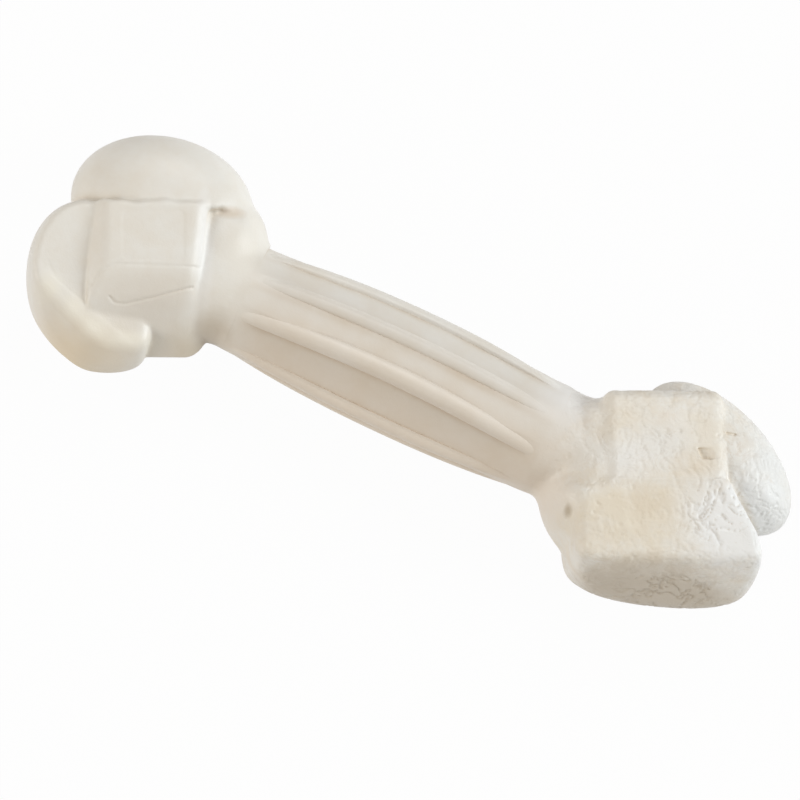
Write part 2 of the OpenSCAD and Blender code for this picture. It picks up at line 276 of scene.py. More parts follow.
# Painted shade in the creases at each ridge's edges, kept on the shaft's points for its material.
beside = np.zeros_like(radius)
for ridge_turn, bow in zip(ridge_turns, ridge_bows):
    off_mid = (turn - ridge_turn + bow * along ** 2 + radians(180)) % radians(360) - radians(180)
    for edge_at, share in ((-ridge_w / 2, crease_shade_below), (ridge_w / 2, crease_shade_above)):
        beside += share * np.exp(-((off_mid * belly_r - edge_at) / corner_w) ** 2)
beside *= np.clip(1 - np.abs(along) ** 3, 0, 1)
points = np.stack([x + 0 * radius, radius * np.sin(turn), radius * np.cos(turn)], axis=-1)
number = np.arange(radius.size).reshape(radius.shape)
beyond = np.roll(number, -1, 1)
sides = np.stack([number[:-1], beyond[:-1], beyond[1:], number[1:]], axis=-1)
shaft_mesh = bpy.data.meshes.new("shaft_bar")
shaft_mesh.from_pydata(points.reshape(-1, 3), [], [
    *sides.reshape(-1, 4)[:, ::-1].tolist(), number[0].tolist(), number[-1, ::-1].tolist()])
shaft_mesh.materials.append(smooth_chew)
shaft_mesh.attributes.new("crease shade by a ridge", "FLOAT", "POINT").data.foreach_set("value", beside.ravel())
shaft = new_piece("shaft_bar", shaft_mesh)
shaft.data.shade_smooth()
shaft.data.set_sharp_from_angle(angle=sharp_from)
shaft.data.transform(in_place)
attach(shaft, "root")
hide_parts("shaft")

# Ridges
# Eight rounded ridges of the same dough, pressed with the shaft and rooted a little below its
# skin. Each fades out in height at both tips, some bow along the shaft, and the upper edge of
# each one has a painted highlight, a paler band.
ridge_h = 0.8
ridge_edge_drop = 0.35
ridge_root = 1.4
ridge_foot = 0.5
tip_narrowing = 0.4
# Where across each ridge the painted highlight band lies, and how wide it is.
highlight_at = 0.6
highlight_w = 0.5
ridge_facets = 48
ridge_steps = 180
tip_reach = 0.999
ridge_shares = (0.82, 0.9, 0.9, 0.9, 0.9, 0.9, 0.95, 1.0)


class FieldTree:
    """A Geometry Nodes tree written as sums: each call adds a node and returns its output."""

    def __init__(self, name, **sizes):
        self.tree = bpy.data.node_groups.new(name, "GeometryNodeTree")
        self.tree.interface.new_socket("Geometry", in_out="OUTPUT", socket_type="NodeSocketGeometry")
        self.tree.interface.new_socket("Geometry", in_out="INPUT", socket_type="NodeSocketGeometry")
        for label in sizes:
            self.tree.interface.new_socket(label, in_out="INPUT", socket_type="NodeSocketFloat")
        self.sizes = sizes
        self.given = self.tree.nodes.new("NodeGroupInput").outputs
        self.result = self.tree.nodes.new("NodeGroupOutput").inputs[0]

    def put(self, socket, value):
        if isinstance(value, bpy.types.NodeSocket):
            self.tree.links.new(value, socket)
        else:
            socket.default_value = value

    def node(self, kind, settings=(), **values):
        made = self.tree.nodes.new(kind)
        for key, value in settings:
            setattr(made, key, value)
        for label, value in values.items():
            self.put(made.inputs[label.replace("_", " ")], value)
        return made.outputs[0]

    def sum(self, operation, *values):
        made = self.tree.nodes.new("ShaderNodeMath")
        made.operation = operation
        for socket, value in zip(made.inputs, values):
            self.put(socket, value)
        return made.outputs[0]

    def times(self, *values):
        return reduce(lambda a, b: self.sum("MULTIPLY", a, b), values)

    def plus(self, a, b):
        return self.sum("ADD", a, b)

    def minus(self, a, b):
        return self.sum("SUBTRACT", a, b)

    def over(self, a, b):
        return self.sum("DIVIDE", a, b)

    def swell(self, along):
        """1 in the middle, falling to 0 where along is 1."""
        return self.sum("MAXIMUM", self.minus(1.0, self.times(along, along)), 0.0)

    def own(self, label):
        """A value that each point of the mesh has of its own."""
        return self.node("GeometryNodeInputNamedAttribute", settings=(("data_type", "FLOAT"),), Name=label)

    def barrel_radius(self, x):
        share = self.over(x, self.given["Half length"])
        fall = self.minus(self.given["Belly radius"], self.given["Neck radius"])
        return self.minus(self.given["Belly radius"], self.times(share, share, fall))

    def round_shaft(self, x, turn, radius):
        """The place at x along the shaft, turned from straight up, at a radius."""
        return self.node("ShaderNodeCombineXYZ", X=x, Y=self.times(radius, self.sum("SINE", turn)),
                         Z=self.times(radius, self.sum("COSINE", turn)))

    def grow(self, geometry, piece, material):
        """Ends the tree, runs it on the piece's mesh and leaves the result there as a plain mesh."""
        realized = self.node("GeometryNodeRealizeInstances", Geometry=geometry)
        self.put(self.result, self.node("GeometryNodeSetMaterial", Geometry=realized, Material=material))
        growth = piece.modifiers.new("growth", "NODES")
        growth.node_group = self.tree
        for socket in self.tree.interface.items_tree:
            if socket.name in self.sizes:
                growth[socket.identifier] = self.sizes[socket.name]
        evaluated = piece.evaluated_get(bpy.context.evaluated_depsgraph_get())
        mesh = bpy.data.meshes.new_from_object(evaluated)
        piece.modifiers.remove(growth)
        piece.data = mesh


lens = FieldTree("ridges", **{
    "Half length": half_len, "Belly radius": belly_r, "Neck radius": neck_r, "Ridge middle": ridge_mid,
    "Ridge half length": ridge_half_len, "Ridge width": ridge_w, "Ridge height": ridge_h,
    "Edge drop": ridge_edge_drop, "Root depth": ridge_root, "Foot spread": ridge_foot,
    "Tip narrowing": tip_narrowing, "Highlight place": highlight_at, "Highlight width": highlight_w})
tube = lens.node("GeometryNodeMeshCylinder", settings=(("fill_type", "NGON"),),
                 Vertices=ridge_facets, Side_Segments=ridge_steps, Radius=1.0, Depth=2 * tip_reach)
at = lens.node("ShaderNodeSeparateXYZ", Vector=lens.node("GeometryNodeInputPosition")).node.outputs
along = lens.sum("ABSOLUTE", at["Z"])
on_top = lens.sum("GREATER_THAN", at["Y"], 0.0)
below = lens.sum("MINIMUM", at["Y"], 0.0)
fade = lens.minus(1.0, lens.sum("POWER", along, 3.0))
# Painted highlight: a paler band on each ridge's upper edge, kept as a point value for the material.
highlit = lens.swell(lens.over(lens.minus(at["X"], lens.given["Highlight place"]), lens.given["Highlight width"]))
tube = lens.node("GeometryNodeStoreNamedAttribute", Geometry=tube, Name="rubbed edge",
                 Value=lens.times(highlit, fade, on_top))
x = lens.plus(lens.times(at["Z"], lens.given["Ridge half length"]), lens.given["Ridge middle"])
half_turn = lens.over(lens.given["Ridge width"], lens.times(2.0, lens.given["Belly radius"]))
narrow = lens.minus(1.0, lens.times(lens.given["Tip narrowing"], lens.sum("POWER", along, 4.0)))
foot = lens.minus(1.0, lens.times(lens.given["Foot spread"], below))
crown = lens.times(on_top, lens.sum("POWER", lens.swell(at["X"]), 0.7), fade,
                   lens.plus(lens.given["Edge drop"], lens.given["Ridge height"]))
root = lens.times(lens.given["Root depth"], below)
height = lens.minus(lens.plus(crown, root), lens.given["Edge drop"])
one = lens.node("GeometryNodeSetPosition", Geometry=tube, Position=lens.round_shaft(
    x, lens.times(at["X"], foot, narrow, half_turn), lens.plus(lens.barrel_radius(x), height)))
ring = lens.node("GeometryNodeInstanceOnPoints", Points=lens.given["Geometry"], Instance=one,
                 Rotation=lens.node("ShaderNodeCombineXYZ", X=lens.times(lens.own("turn"), -1.0)),
                 Scale=lens.node("ShaderNodeCombineXYZ", X=1.0, Y=lens.own("width"), Z=1.0))
placed = lens.node("GeometryNodeInputPosition")
from_middle = lens.minus(lens.node("ShaderNodeSeparateXYZ", Vector=placed), lens.given["Ridge middle"])
share = lens.over(from_middle, lens.given["Ridge half length"])
bowed = lens.node("ShaderNodeVectorRotate", settings=(("rotation_type", "X_AXIS"),), Vector=placed,
                  Angle=lens.times(lens.own("bow"), lens.times(share, share)))
ring = lens.node("GeometryNodeSetPosition", Position=bowed,
                 Geometry=lens.node("GeometryNodeRealizeInstances", Geometry=ring))
ridges = new_piece("shaft_ridges")
ridges.data.from_pydata([(0, 0, 0)] * len(ridge_turns), [], [])
for label, values in (("turn", ridge_turns), ("bow", ridge_bows), ("width", ridge_shares)):
    ridges.data.attributes.new(label, "FLOAT", "POINT").data.foreach_set("value", values)
lens.grow(ring, ridges, smooth_chew)
ridges.data.shade_smooth()
ridges.data.transform(in_place)
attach(ridges, "root")
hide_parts(*(f"ridge_{i + 1}" for i in range(len(ridge_turns))))

# Left end
# The smooth end: a saddle block between two knuckles, on the collar in which the shaft ends. It
# is one pressing with the shaft, so forms meet in small fillets, alike above and below. Places
# are in a turned frame at the neck, u inwards along the shaft and v to the upper lobe.
half_h = 16.4
net_w = 0.32
clear = 0.9
left_u, left_v = (-36.2, -9.2), (-7.6, 19.6)
left_low, left_high = (-55, -36, -17.2), (9, 42, 17.2)
left_flow_lines = {
    "bend of the panel": ([(-35.9, 0.4), (-33.7, 3.3), (-30.3, 4.8), (-11.6, 4.3)], 0.28, 0.18),
    "hook on the slope": (
        [(-31.8, -2.3), (-30.6, -3.6), (-28.3, -3.8), (-20.9, -2.2), (-12.9, -0.1)], 0.26, 0.3),
    "inside of the rim": ([(-45.9, 5.8), (-44.2, 2.2), (-40.3, -1.3), (-37.3, -3.3)], 0.3, 0.08),
    "bottom of the pocket": ([(-6.2, 18.1), (-4.2, 17.5), (-2.2, 16.6)], 1.0, 0.3),
}


def blend(a, b, soft):
    """Both forms together, with a fillet about as wide as soft."""
    near = np.maximum(soft - np.abs(a - b), 0) / soft
    return np.minimum(a, b) - near * near * soft / 4


def carve(a, b, soft):
    """What the two forms share, with a soft edge."""
    return -blend(-a, -b, soft)


def rounded(radius, *walls):
    """What walls that stand about square to each other enclose, with round edges."""
    over = sum(np.maximum(wall + radius, 0) ** 2 for wall in walls)
    return np.minimum(reduce(np.maximum, walls), -radius) + np.sqrt(over)


def turned(u, v, angle):
    return u * cos(angle) + v * sin(angle), v * cos(angle) - u * sin(angle)


def oval(u, v, z, at, half, turn=0.0):
    u, v = turned(u - at[0], v - at[1], turn)
    z = z - at[2]
    near = np.sqrt((u / half[0]) ** 2 + (v / half[1]) ** 2 + (z / half[2]) ** 2) + 1e-6
    steep = np.sqrt((u / half[0] ** 2) ** 2 + (v / half[1] ** 2) ** 2 + (z / half[2] ** 2) ** 2) + 1e-6
    return near * (near - 1) / steep


def dome(u, v, z, at, half, fullness, turn=0.0):
    """An oval knuckle whose top is the flatter, the fuller it is; at 2 it is an oval."""
    u, v = turned(u - at[0], v - at[1], turn)
    plan = np.sqrt((u / half[0]) ** 2 + (v / half[1]) ** 2)
    near = (plan ** fullness + (z / half[2]) ** fullness) ** (1 / fullness) + 1e-6
    return np.sqrt(u * u + v * v + z * z) * (1 - 1 / near)


def beyond_wall(u, v, at, facing):
    """How far beyond a flat wall through a place; facing is the way that its outer side looks."""
    return (u - at[0]) * facing[0] + (v - at[1]) * facing[1]


def beyond_slant(along, z, edge_along, edge_z, foot_along):
    """How far beyond a wall that runs from its upper edge down to its foot at the parting plane."""
    run = foot_along - edge_along
    return ((along - edge_along) * edge_z + (z - edge_z) * run) / np.hypot(run, edge_z)


def sunk(off, depth, soft):
    """A shallow step: the skin lies deeper where off is below 0."""
    return depth / (1 + np.exp(off / soft))


def groove(u, v, path, width, depth):
    """How deep a flow line is pressed in, along a path in the plan."""
    near = None
    for (u0, v0), (u1, v1) in zip(path, path[1:]):
        du, dv = u1 - u0, v1 - v0
        share = np.clip(((u - u0) * du + (v - v0) * dv) / (du * du + dv * dv), 0, 1)
        off = (u - u0 - share * du) ** 2 + (v - v0 - share * dv) ** 2
        near = off if near is None else np.minimum(near, off)
    return depth * np.exp(-near / width ** 2)


def neck_form(u, v, z, belly_at, belly_half):
    """The shaft's end inside the collar, and the collar's rounded belly."""
    bar_len, bar_edge, fillet = 30, 4.0, 2.6
    x, y = turned(u, v, -end_turn)
    bar = carve(np.sqrt(y * y + z * z) - barrel_radius(half_len - x), -bar_len - x, bar_edge)
    return blend(bar, oval(x, y, z, belly_at, belly_half), fillet)


def left_neck(u, v, z):
    """The collar, with the shoulder beside the pocket and the pocket's floor."""
    neck = neck_form(u, v, z, belly_at=(-11, 2.6, 0), belly_half=(13, 17.6, 13.4))
    shoulder = dome(u, v, z, at=(-5.0, 14.5), half=(7.5, 7.5, 11.8), fullness=2.5)
    pocket_floor = dome(u, v, z, at=(-6.5, 17.0), half=(5.0, 4.0, 12.0), fullness=4.0)
    return blend(blend(neck, shoulder, soft=5.0), pocket_floor, soft=1.0)


def left_block(u, v, z):
    """The saddle: a level panel with an inset, a slope from its bend to an apron, and a chamfer."""
    bend_v, slope_fall = 4.8, radians(22)
    crease_v, outer_u = 19.8, -37.2
    undercut_z, undercut = 14, 0.017
    inset_mid_u, inset_half_u, inset_v = -21.9, 7.2, (5.5, 17.6)
    slope = (z - half_h) * cos(slope_fall) - (v - bend_v) * sin(slope_fall)
    panel = carve(z - half_h, slope, soft=1.4)
    apron = beyond_slant(-v, z, edge_along=7.4, edge_z=11.2, foot_along=13.9)
    neck_wall = beyond_wall(u, v, at=(-9.0, 19.5), facing=(0.993, -0.116))
    neck_wall = neck_wall - np.maximum(undercut_z - z, 0) ** 2 * undercut
    block = rounded(3.8, panel, rounded(4.6, neck_wall, apron))
    uneven = 0.2 * np.sin(0.55 * u) + 0.12 * np.sin(1.3 * u + 1)
    block = carve(block, v - crease_v - uneven, soft=1.6)
    chamfer = beyond_wall(z, u, at=(half_h, -33.0), facing=(0.77, -0.64))
    block = carve(carve(block, chamfer, soft=1.2), outer_u - u, soft=1.2)
    inset = rounded(1.5, np.abs(u - inset_mid_u) - inset_half_u, inset_v[0] - v, v - inset_v[1])
    return block + sunk(inset, depth=0.10, soft=0.1)


def left_upper(u, v, z):
    """The upper lobe, cut off under the crease and at the pocket."""
    crease_v = 18.2
    lobe = dome(u, v, z, at=(-19.2, 21.6), half=(21.2, 15.6, 15.4), fullness=2.6, turn=radians(-12))
    pocket = beyond_wall(u, v, at=(-8.4, 19.3), facing=(-0.486, -0.874))
    return carve(lobe, np.minimum(crease_v - v, pocket), soft=1.2)


def left_outer(u, v, z):
    """The outer lobe: a falling face with a raised rim round it, a slanted wall and a blunt lip."""
    face_z, face_fall, face_level = 13.3, 0.16, 0.988
    rim_at, rim_h, lip_u = 5.9, 0.3, -21.6
    lobe = dome(u, v, z, at=(-34.5, 1.6), half=(15.3, 20.3, 28.0), fullness=2.4, turn=radians(19))
    down_face = beyond_wall(u, v, at=(-38, 5), facing=(0.53, -0.85))
    face = (z - face_z) * face_level + down_face * face_fall
    rimwards = beyond_wall(u, v, at=(-34.6, 1.8), facing=(-0.64, -0.77))
    face = face + sunk(rimwards - rim_at, depth=rim_h, soft=0.35)
    wall = beyond_slant(rimwards, z, edge_along=10.4, edge_z=12.4, foot_along=17.4)
    lobe = rounded(1.7, carve(lobe, face, soft=1.8), wall)
    lip_wall = beyond_slant(-v, z, edge_along=13.0, edge_z=10.0, foot_along=18.2)
    return carve(carve(lobe, lip_wall, soft=2.4), u - lip_u, soft=4.0)


def left_form(u, v, z):
    top = z > 0
    z = np.abs(z)
    whole = blend(left_neck(u, v, z), left_block(u, v, z), soft=1.2)
    whole = blend(whole, left_upper(u, v, z), soft=1.0)
    whole = blend(whole, left_outer(u, v, z), soft=0.5)
    for path, width, depth in left_flow_lines.values():
        whole = whole + groove(u, v, path, width, depth) * top
    return whole


def skin_of(form, low, high):
    """Points and four-sided faces of a form's skin, from a net of even cells."""
    settling, step, least_steep = 3, 0.02, 0.2
    axes = [np.arange(a, b + net_w, net_w) for a, b in zip(low, high)]
    value = form(axes[0][:, None, None], axes[1][None, :, None], axes[2][None, None, :])
    inside = value < 0
    cells = np.array(value.shape) - 1
    corners = sum(inside[i:i + cells[0], j:j + cells[1], k:k + cells[2]].astype(np.int8)
                  for i in (0, 1) for j in (0, 1) for k in (0, 1))
    number = np.full(cells, -1)
    on_skin = (corners > 0) & (corners < 8)
    count = int(on_skin.sum())
    number[on_skin] = np.arange(count)
    total, weight, faces = np.zeros((count, 3)), np.zeros(count), []
    for axis in range(3):
        lower = [slice(None)] * 3
        upper = [slice(None)] * 3
        lower[axis], upper[axis] = slice(0, -1), slice(1, None)
        a, b = value[tuple(lower)], value[tuple(upper)]
        start = np.argwhere((a < 0) != (b < 0))
        side1, side2 = (axis + 1) % 3, (axis + 2) % 3
        across = start[:, [side1, side2]]
        start = start[np.all((across > 0) & (across < cells[[side1, side2]]), axis=1)]
        from_a, from_b = a[tuple(start.T)], b[tuple(start.T)]
        crossing = start.astype(float)
        crossing[:, axis] += from_a / (from_a - from_b)
        corner = []
        for back1, back2 in ((1, 1), (0, 1), (0, 0), (1, 0)):
            cell = start.copy()
            cell[:, side1] -= back1
            cell[:, side2] -= back2
            corner.append(number[tuple(cell.T)])
            np.add.at(total, corner[-1], crossing)
            np.add.at(weight, corner[-1], 1)
        quads = np.stack(corner, axis=1)
        faces.append(np.where((from_a < 0)[:, None], quads, quads[:, ::-1]))
    points = np.array(low) + net_w * total / np.maximum(weight, 1)[:, None]
    for _ in range(settling):
        height, slope = form(*points.T), np.zeros_like(points)
        for axis in range(3):
            ahead, behind = points.copy(), points.copy()
            ahead[:, axis] += step
            behind[:, axis] -= step
            slope[:, axis] = (form(*ahead.T) - form(*behind.T)) / (2 * step)
        move = np.clip(height / np.maximum((slope ** 2).sum(1), least_steep), -net_w, net_w)
        points -= move[:, None] * slope
    return points, np.concatenate(faces)


def pressed(name, points, faces, to_bone):
    mesh = bpy.data.meshes.new(name)
    mesh.from_pydata(points, [], faces)
    mesh.shade_smooth()
    mesh.transform(in_place @ to_bone)
    return new_piece(name, mesh)


def tall(name, outline, to_bone):
    """An upright prism round a cell of one end, taller than the bone."""
    prism_h = 40
    count = len(outline)
    points = [(u, v, z) for z in (-prism_h, prism_h) for u, v in outline]
    sides = [(i, (i + 1) % count, count + (i + 1) % count, count + i) for i in range(count)]
    mesh = bpy.data.meshes.new(name)
    mesh.from_pydata(points, [], [tuple(range(count))[::-1], tuple(range(count, 2 * count)), *sides])
    mesh.transform(in_place @ to_bone)
    mesh.materials.append(bpy.data.materials.new("cut face"))
    return new_piece(name, mesh)


def without_flaps(mesh):
    """Joins points that a cut left almost on each other, and takes out the flaps between them."""
    join_within = 0.002 * MM
    net = bmesh.new()
    net.from_mesh(mesh)
    bmesh.ops.remove_doubles(net, verts=net.verts[:], dist=join_within)
    bmesh.ops.triangulate(net, faces=net.faces[:])
    alike = {}
    for face in net.faces:
        alike.setdefault(frozenset(face.verts), []).append(face)
    flaps = [face for faces in alike.values() if len(faces) > 1 for face in faces]
    bmesh.ops.delete(net, geom=flaps, context="FACES")
    net.to_mesh(mesh)
    net.free()


def parted(whole, cells, joint, to_bone, material):
    """Divides an end along upright cuts, one closed piece a cell, with the whole skin's normals kept."""
    least_alike = 0.2
    bone = in_place @ to_bone
    shaftwards = Vector((cos(end_turn), -sin(end_turn), 0))
    net = whole.data
    tree = kdtree.KDTree(len(net.vertices))
    normals = [normal.vector.copy() for normal in net.vertex_normals]
    for vertex in net.vertices:
        tree.insert(vertex.co, vertex.index)
    tree.balance()
    at_neck = bmesh.new()
    at_neck.from_mesh(net)
    bmesh.ops.bisect_plane(
        at_neck, geom=at_neck.verts[:] + at_neck.edges[:] + at_neck.faces[:], clear_outer=True,
        plane_co=bone @ (shaftwards * joint), plane_no=bone.to_3x3() @ shaftwards)
    open_edges = [edge for edge in at_neck.edges if edge.is_boundary]
    bmesh.ops.holes_fill(at_neck, edges=open_edges, sides=0)
    at_neck.to_mesh(net)
    at_neck.free()
    net.materials.append(material)
    for node, outline in cells.items():
        prism = tall(f"{node}_cell", outline, to_bone)
        cut = whole.modifiers.new("cut", "BOOLEAN")
        cut.operation = "INTERSECT"
        cut.solver = "MANIFOLD"
        cut.material_mode = "TRANSFER"
        cut.object = prism
        evaluated = whole.evaluated_get(bpy.context.evaluated_depsgraph_get())
        mesh = bpy.data.meshes.new_from_object(evaluated)
        whole.modifiers.remove(cut)
        bpy.data.objects.remove(prism)
        without_flaps(mesh)
        mesh.shade_smooth()
        skin_normals = [normals[tree.find(vertex.co)[1]] for vertex in mesh.vertices]
        corner_normals = []
        for face in mesh.polygons:
            alike = face.normal.dot(skin_normals[face.vertices[0]])
            is_cut = face.material_index > 0 or alike < least_alike
            corner_normals += [face.normal.copy() if is_cut else skin_normals[i] for i in face.vertices]
        mesh.polygons.foreach_set("material_index", [0] * len(mesh.polygons))
        while len(mesh.materials) > 1:
            mesh.materials.pop(index=1)
        mesh.normals_split_custom_set(corner_normals)
        piece = new_piece(node + "_skin", mesh)
        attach(piece, "root")
        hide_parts(node)
    bpy.data.objects.remove(whole)


left_skin = pressed("left_end", *skin_of(left_form, left_low, left_high), left_to_bone)
outside, inside = left_u[0] - clear, left_u[1] + clear
foot, crease = left_v[0] - clear, left_v[1] + clear
lip_end = -21.5
far_out, far_in, far_down, far_up = -60, 30, -45, 45
parted(left_skin, {
    "left_upper_lobe": [(far_out, crease), (far_in, crease), (far_in, far_up), (far_out, far_up)],
    "left_saddle": [(outside, foot), (inside, foot), (inside, crease), (outside, crease)],
    "left_outer_lobe": [(outside, crease), (far_out, crease), (far_out, far_down), (lip_end, far_down),
                        (lip_end, foot), (outside, foot)],
    "left_collar": [(inside, crease), (inside, foot), (lip_end, foot), (lip_end, far_down),
                    (far_in, far_down), (far_in, crease)],
}, 0, left_to_bone, smooth_chew)

# Right end
# The rough end: the same pressing, with a broad lower knuckle whose level panel widens from
# the saddle, a long outer knuckle, and a skin that wrinkled where the dough met last.
right_u, right_v = (-34.8, -6.8), (-12.2, 9.6)
right_low, right_high = (-58, -32, -17.2), (15, 40, 17.2)
flare = radians(62)
pit_at = (1.7, 16.3)
sheen_white = (0.835, 0.845, 0.855)
yellow_dough = (0.76, 0.695, 0.585)
brown_dough = (0.70, 0.61, 0.48)
rough_chew = chew_finish(
    "rough_chew", stain=(0.60, 0.50, 0.39), grain=1.0, to_bone=right_to_bone, turn=right_end_turn, patches={
        # Painted light on the shaded top of the right neck.
        "white neck": (white_neck_at, *white_neck),
        "lower lobe's panel": ((-12, 18), (17, 11), yellow_dough, 0.95, 2.2, 0.45),
        "saddle's inner side": ((-12, -6), (8, 8), yellow_dough, 0.6, 2.0, 0.5),
        "saddle's outer side": ((-30, -2), (6, 9), yellow_dough, 0.6, 2.0, 0.5),
        "saddle's middle": ((-20, 0), (8, 5), (0.80, 0.805, 0.80), 0.6, 2.0, 0.5),
        "saddle's corner": ((-12, 5), (6, 6), (0.81, 0.81, 0.805), 0.6, 2.0, 0.5),
        # Painted sheen: a neutral near white on the right of the lower lobe's panel, and a neutral grey over
        # the outer lobe, in place of the lamps' sheen.
        "wrinkled panel": ((-38, 19), (16, 15), sheen_white, 0.9, 1.4, 0.3),
        "outer lobe": ((-46, 8), (9, 18), (0.755, 0.765, 0.765), 0.9, 1.0, 0.55),
        "stain by the chip": ((-29, 6), (6, 3.5), brown_dough, 0.5, 2.6, 0.55),
        "stain on the panel": ((-16, 15), (6, 4), brown_dough, 0.4, 2.6, 0.55),
        "knob": ((5, 13), (6, 5), (0.815, 0.79, 0.75), 0.7, 0.8, 0.5),
        # Painted shade: the pit is painted dark brown, as the shade in its hollow.
        "pit": (pit_at, (0.8, 1.4), (0.46, 0.39, 0.29), 0.8, 1.2, 0.5),
        # The end face's darker brown grey is partly a stain and partly painted shade on this down-facing
        # face.
        "end face": ((-15, 46), (38, 23.5), (0.57, 0.515, 0.44), 0.95, 0.3, 0.11),
    })
right_flow_lines = {
    "crack at the outer lobe": ([(-35.0, -1.8), (-37.2, -1.6)], 0.24, 0.5),
    "line along the saddle": ([(-8.6, -8.9), (-20.0, -9.3), (-33.4, -8.9)], 0.4, 0.1),
    "line down the panel": ([(-23.2, 9.8), (-24.0, 16.0), (-22.9, 22.0), (-22.3, 27.0)], 0.35, 0.07),
}
wrinkled_spots = {
    "panel": ((-32, 17), (9, 9), 1.0),
    "outer lobe": ((-46, 14), (5, 6), 0.5),
    "end face": ((-22, 34), (14, 4), 0.8),
    "saddle": ((-21, 0), (6, 6), 0.5),
}
least_wrinkled = 0.35


def ramp(value, low, high):
    """From 0 at the low value to 1 at the high one."""
    return np.clip((value - low) / (high - low), 0, 1)


def right_neck(u, v, z):
    """The collar, with the shoulder that it makes against the saddle."""
    neck = neck_form(u, v, z, belly_at=(-9.5, 3.6, 0), belly_half=(13, 17.6, 15.0))
    shoulder = dome(u, v, z, at=(-6.0, -4.4), half=(6.6, 6.4, 12.6), fullness=2.6)
    return blend(neck, shoulder, soft=2.4)


def right_block(u, v, z):
    """The saddle: a slope that falls from the crease to the free edge, between upright walls."""
    drop = 4
    fall = np.arctan2(drop, right_v[1] - right_v[0])
    level = z - half_h
    slope = level * np.cos(fall) - (v - right_v[1]) * np.sin(fall)
    block = rounded(3.0, right_u[0] - u, u - right_u[1], right_v[0] - v, carve(level, slope, soft=1.4))
    return carve(block, v - right_v[1], soft=0.6)


def right_lower(u, v, z):
    """The lower lobe: a level panel, a flaring flank, a bulging end face, and a knob at the neck."""
    lobe_at, lobe_half, lobe_turn = (-21.8, 18.6), (22.9, 18.7), radians(-7)
    squareness, wall_lean, panel_drop = 3, 0.004, 0.25
    end_edge_v, end_foot_v, end_blunt = 27.4, 38.4, 2
    bulge_mid_u, bulge_curve = -27, 0.006
    flank_back, ledge_back, ledge_step = 0.5, 0.3, 0.7
    knob_back, knob_far_v, knob_far_u = 0.6, 24, -14
    knob_drop, knob_lean = 0.4, 0.014
    lobe_u, lobe_v = turned(u - lobe_at[0], v - lobe_at[1], lobe_turn)
    plan = np.abs(lobe_u / lobe_half[0]) ** squareness + np.abs(lobe_v / lobe_half[1]) ** squareness
    walls = (plan ** (1 / squareness) - 1) * lobe_half[1] + wall_lean * z * z
    bulge = bulge_curve * (u - bulge_mid_u) ** 2 * (1 - z / half_h)
    blunt_z = np.sqrt(z * z + end_blunt ** 2)
    end_face = beyond_slant(v + bulge, blunt_z, end_edge_v, half_h, end_foot_v)
    lobe = carve(rounded(2.2, walls, z - half_h + panel_drop), end_face, soft=1.8)
    flank = beyond_wall(u, v, at=(right_u[0] - flank_back, right_v[1]), facing=(-sin(flare), -cos(flare)))
    lobe = carve(lobe, flank, soft=2.6)
    ledge = ramp(u, -9, -5)
    lobe = carve(lobe, right_v[1] - ledge_back + ledge_step * ledge - v, soft=0.5 + 3.5 * ledge)
    shaft_side = beyond_wall(u, v, at=(6.2, 10.6), facing=(0.932, 0.365)) + knob_lean * z * z
    level = z - half_h + knob_drop
    knob = rounded(3.4, shaft_side, level, right_v[1] + knob_back - v, v - knob_far_v, knob_far_u - u)
    return blend(lobe, knob, soft=1.2)


def right_form(u, v, z):
    top = z > 0
    z = np.abs(z)
    outer = oval(u, v, z, at=(-34.4, 2.0, 0), half=(21.7, 11.8, 13.5), turn=radians(-47.6))
    body = blend(right_neck(u, v, z), right_lower(u, v, z), soft=3.0)
    by_neck = ramp(-v, -6, -2) * ramp(u, -24, -18)
    by_outer = ramp(-u, 33, 35)
    block_fillet = 0.6 + 1.3 * by_neck + 0.3 * by_outer
    whole = blend(blend(body, outer, soft=1.2), right_block(u, v, z), block_fillet)
    pit = oval(u, v, z, at=(*pit_at, 16.2), half=(0.7, 1.5, 1.1))
    chip_at, chip_v = (-28.2, 2.6), (2.0, 4.6)
    chip_floor_z, chip_fall, chip_skew = 14.3, 0.19, 0.45
    chip_floor = chip_floor_z - (u - chip_at[0]) * chip_fall
    chip_side = u - chip_at[0] + (v - chip_at[1]) * chip_skew
    chip = rounded(0.3, chip_v[0] - v, v - chip_v[1], chip_side, chip_floor - z)
    whole = np.where(top, carve(carve(whole, -pit, soft=0.6), -chip, soft=0.25), whole)
    for path, width, depth in right_flow_lines.values():
        whole = whole + groove(u, v, path, width, depth) * top
    return whole


right_points, right_faces = skin_of(right_form, right_low, right_high)
right_skin = pressed("right_end", right_points, right_faces, right_to_bone)
right_skin.data.materials.append(rough_chew)
point_u, point_v = right_points[:, 0], right_points[:, 1]
met_last = np.full(len(right_points), least_wrinkled)
for spot_at, spot_half, share in wrinkled_spots.values():
    off = ((point_u - spot_at[0]) / spot_half[0]) ** 2 + ((point_v - spot_at[1]) / spot_half[1]) ** 2
    met_last = np.maximum(met_last, share * np.exp(-off ** 2))
met_last *= ramp(-point_u, -8, 4)
right_skin.data.attributes.new("met last", "FLOAT", "POINT").data.foreach_set("value", met_last)
wrinkles = FieldTree("wrinkles", **{
    "Crease depth": 0.38 * MM, "Crease width": 0.035, "Crease scale": 165.0,
    "Pit depth": 0.20 * MM, "Pit scale": 480.0, "Pit narrowing": 3.2, "Pit rarity": 0.88,
    "Lump height": 0.22 * MM, "Lump scale": 110.0, "Lump level": 0.62})
spot = wrinkles.node("GeometryNodeInputPosition")
folds = wrinkles.node("ShaderNodeTexNoise", Vector=spot, Scale=wrinkles.given["Crease scale"], Detail=3.0,
                      Roughness=0.55, Distortion=1.4)
